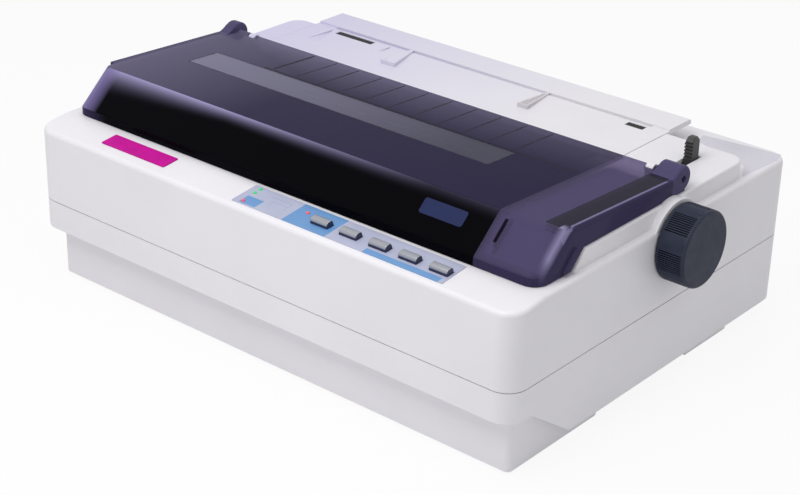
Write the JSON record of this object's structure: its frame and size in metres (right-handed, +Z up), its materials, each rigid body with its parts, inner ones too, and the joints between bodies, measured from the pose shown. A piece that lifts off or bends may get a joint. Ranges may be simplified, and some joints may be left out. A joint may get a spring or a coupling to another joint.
{
  "type": "dot matrix printer",
  "caption": "Desktop dot matrix printer with a smoked hinged lid, platen knob, rear paper guide, release lever and a strip of push buttons.",
  "frame": {"origin": "on the floor, under the middle of the overall box, knob included", "axes": "+X to the printer's right as seen from the front, along its width; +Y to the rear; +Z up"},
  "size_m": [0.4522, 0.32, 0.1523],
  "materials": {
    "case": "fine matt off-white moulding",
    "guide_plastic": "fine matt off-white moulding",
    "black_plastic": "fine matt black moulding",
    "charcoal_plastic": "matt charcoal moulding",
    "slate_plastic": "satin dark slate blue moulding",
    "smoke": "polished smoked purple acrylic",
    "clear": "polished lighter acrylic",
    "steel_sheet": "zinc plated sheet",
    "steel_bar": "ground and plated bar",
    "alloy": "die cast",
    "brass": "turned",
    "sintered": "sintered bush",
    "gear_plastic": "natural acetal",
    "rubber": "smooth black rubber",
    "motor": "black motor case",
    "pcb_green": "solder mask",
    "pcb_tan": "bare laminate",
    "ribbon": "inked nylon",
    "plate_pink": "smooth",
    "plate_blue": "smooth",
    "label": "printed film",
    "lamp": "clear green",
    "key": "silver grey cap",
    "iron": "lacquered laminations"
  },
  "bodies": {
    "chassis": {"lower_case": "case", "upper_case": "case", "rubber_feet": "rubber", "case_screws": "steel_bar", "chassis_plate": "steel_sheet", "left_frame": "steel_sheet", "right_frame": "steel_sheet", "gear_plate": "steel_sheet", "frame_screws": "steel_bar", "platen_bushes": "sintered", "feed_motor": "motor", "paper_pan": "steel_sheet", "guide_shaft": "steel_bar", "carriage_motor": "motor", "timing_belt": "rubber", "ribbon_cartridge": "black_plastic", "ink_ribbon": "ribbon", "tractor_rod": "steel_bar", "hinge_pins": "steel_bar", "front_plate": "plate_pink", "panel_label": "label", "panel_lamps": "lamp", "panel_board": "pcb_green", "transformer": "iron", "power_board": "pcb_tan", "main_board": "pcb_green", "power_inlet": "black_plastic"},
    "platen": {"platen_roller": "rubber", "platen_shaft": "steel_bar", "platen_gear": "gear_plastic", "platen_knob": "slate_plastic"},
    "idler": {"idler_gear": "gear_plastic"},
    "pinion": {"motor_pinion": "brass"},
    "tractor_drive": {"tractor_shaft": "steel_bar", "tractor_gear": "gear_plastic"},
    "bail": {"bail_frame": "steel_bar"},
    "bail_rollers": {"bail_rollers": "rubber"},
    "carriage": {"carriage": "black_plastic", "print_head": "alloy"},
    "drive_pulley": {"drive_pulley": "brass"},
    "idler_pulley": {"idler_pulley": "gear_plastic"},
    "left_tractor": {"left_tractor": "black_plastic", "left_tractor_door": "charcoal_plastic"},
    "right_tractor": {"right_tractor": "black_plastic", "right_tractor_door": "charcoal_plastic"},
    "lid": {"lid": "smoke", "lid_window": "clear", "lid_ribs": "smoke", "lid_plate": "plate_blue"},
    "paper_guide": {"paper_guide": "guide_plastic"},
    "left_edge_guide": {"left_edge_guide": "guide_plastic"},
    "right_edge_guide": {"right_edge_guide": "charcoal_plastic"},
    "release_lever": {"release_lever": "charcoal_plastic"},
    "gap_lever": {"gap_lever": "black_plastic"},
    "button_1": {"button_1": "key"},
    "button_2": {"button_2": "key"},
    "button_3": {"button_3": "key"},
    "button_4": {"button_4": "key"},
    "button_5": {"button_5": "key"},
    "rocker": {"power_switch": "black_plastic"}
  },
  "joints": [
    {"name": "platen_turn", "type": "hinge", "parent": "chassis", "child": "platen", "pos_m": [-0.0521, 0.014, 0.1076], "axis": [1, 0, 0], "continuous": true},
    {"name": "idler_turn", "type": "hinge", "parent": "chassis", "child": "idler", "pos_m": [0.1359, 0.0515, 0.1076], "axis": [1, 0, 0], "continuous": true},
    {"name": "pinion_turn", "type": "hinge", "parent": "chassis", "child": "pinion", "pos_m": [0.1359, -0.00716, 0.08926], "axis": [1, 0, 0], "continuous": true},
    {"name": "tractor_turn", "type": "hinge", "parent": "chassis", "child": "tractor_drive", "pos_m": [-0.0261, 0.077, 0.1076], "axis": [1, 0, 0], "continuous": true},
    {"name": "bail_swing", "type": "hinge", "parent": "chassis", "child": "bail", "pos_m": [-0.0421, -0.02, 0.092], "axis": [1, 0, 0], "range_deg": [0, 12], "stiffness_Nm_per_rad": 0.1, "springref_deg": -17.19},
    {"name": "bail_roller_spin", "type": "hinge", "parent": "bail", "child": "bail_rollers", "pos_m": [-0.0421, -0.00041, 0.12604], "axis": [1, 0, 0], "continuous": true},
    {"name": "carriage_slide", "type": "slide", "parent": "chassis", "child": "carriage", "axis": [1, 0, 0], "range_m": [0, 0.204]},
    {"name": "drive_pulley_turn", "type": "hinge", "parent": "chassis", "child": "drive_pulley", "pos_m": [-0.1741, -0.076, 0.056], "axis": [0, 0, 1], "continuous": true},
    {"name": "idler_pulley_turn", "type": "hinge", "parent": "chassis", "child": "idler_pulley", "pos_m": [0.1039, -0.076, 0.056], "axis": [0, 0, 1], "continuous": true},
    {"name": "left_tractor_slide", "type": "slide", "parent": "chassis", "child": "left_tractor", "axis": [1, 0, 0], "range_m": [-0.025, 0.08]},
    {"name": "right_tractor_slide", "type": "slide", "parent": "chassis", "child": "right_tractor", "axis": [1, 0, 0], "range_m": [-0.08, 0.03]},
    {"name": "lid_swing", "type": "hinge", "parent": "chassis", "child": "lid", "pos_m": [-0.0111, 0.03, 0.1433], "axis": [-1, 0, 0], "range_deg": [0, 75]},
    {"name": "paper_guide_swing", "type": "hinge", "parent": "chassis", "child": "paper_guide", "pos_m": [-0.0331, 0.04825, 0.13275], "axis": [1, 0, 0], "range_deg": [0, 60]},
    {"name": "left_edge_guide_slide", "type": "slide", "parent": "paper_guide", "child": "left_edge_guide", "axis": [1, 0, 0], "range_m": [-0.06, 0.05]},
    {"name": "right_edge_guide_slide", "type": "slide", "parent": "paper_guide", "child": "right_edge_guide", "axis": [1, 0, 0], "range_m": [-0.06, 0.08]},
    {"name": "release_lever_swing", "type": "hinge", "parent": "chassis", "child": "release_lever", "pos_m": [0.1539, 0.076, 0.086], "axis": [1, 0, 0], "range_deg": [0, 9]},
    {"name": "gap_lever_swing", "type": "hinge", "parent": "chassis", "child": "gap_lever", "pos_m": [0.1319, -0.05, 0.0956], "axis": [1, 0, 0], "range_deg": [0, 8]},
    {"name": "button_1_press", "type": "slide", "parent": "chassis", "child": "button_1", "axis": [0, 0.1122, -0.9937], "range_m": [0, 0.001], "stiffness_N_per_m": 500, "springref_m": -0.0006},
    {"name": "button_2_press", "type": "slide", "parent": "chassis", "child": "button_2", "axis": [0, 0.1122, -0.9937], "range_m": [0, 0.001], "stiffness_N_per_m": 500, "springref_m": -0.0006},
    {"name": "button_3_press", "type": "slide", "parent": "chassis", "child": "button_3", "axis": [0, 0.1122, -0.9937], "range_m": [0, 0.001], "stiffness_N_per_m": 500, "springref_m": -0.0006},
    {"name": "button_4_press", "type": "slide", "parent": "chassis", "child": "button_4", "axis": [0, 0.1122, -0.9937], "range_m": [0, 0.001], "stiffness_N_per_m": 500, "springref_m": -0.0006},
    {"name": "button_5_press", "type": "slide", "parent": "chassis", "child": "button_5", "axis": [0, 0.1122, -0.9937], "range_m": [0, 0.001], "stiffness_N_per_m": 500, "springref_m": -0.0006},
    {"name": "rocker_tilt", "type": "hinge", "parent": "chassis", "child": "rocker", "pos_m": [-0.0471, 0.152, 0.0345], "axis": [-1, 0, 0], "range_deg": [0, 12]}
  ],
  "couplings": [
    {"joint": "idler_turn", "follows": "platen_turn", "ratio": -1.4194},
    {"joint": "pinion_turn", "follows": "platen_turn", "ratio": -3.6667},
    {"joint": "tractor_turn", "follows": "platen_turn", "ratio": 2.2},
    {"joint": "drive_pulley_turn", "follows": "carriage_slide", "rad_per_m": -144.93},
    {"joint": "idler_pulley_turn", "follows": "carriage_slide", "rad_per_m": -144.93}
  ]
}
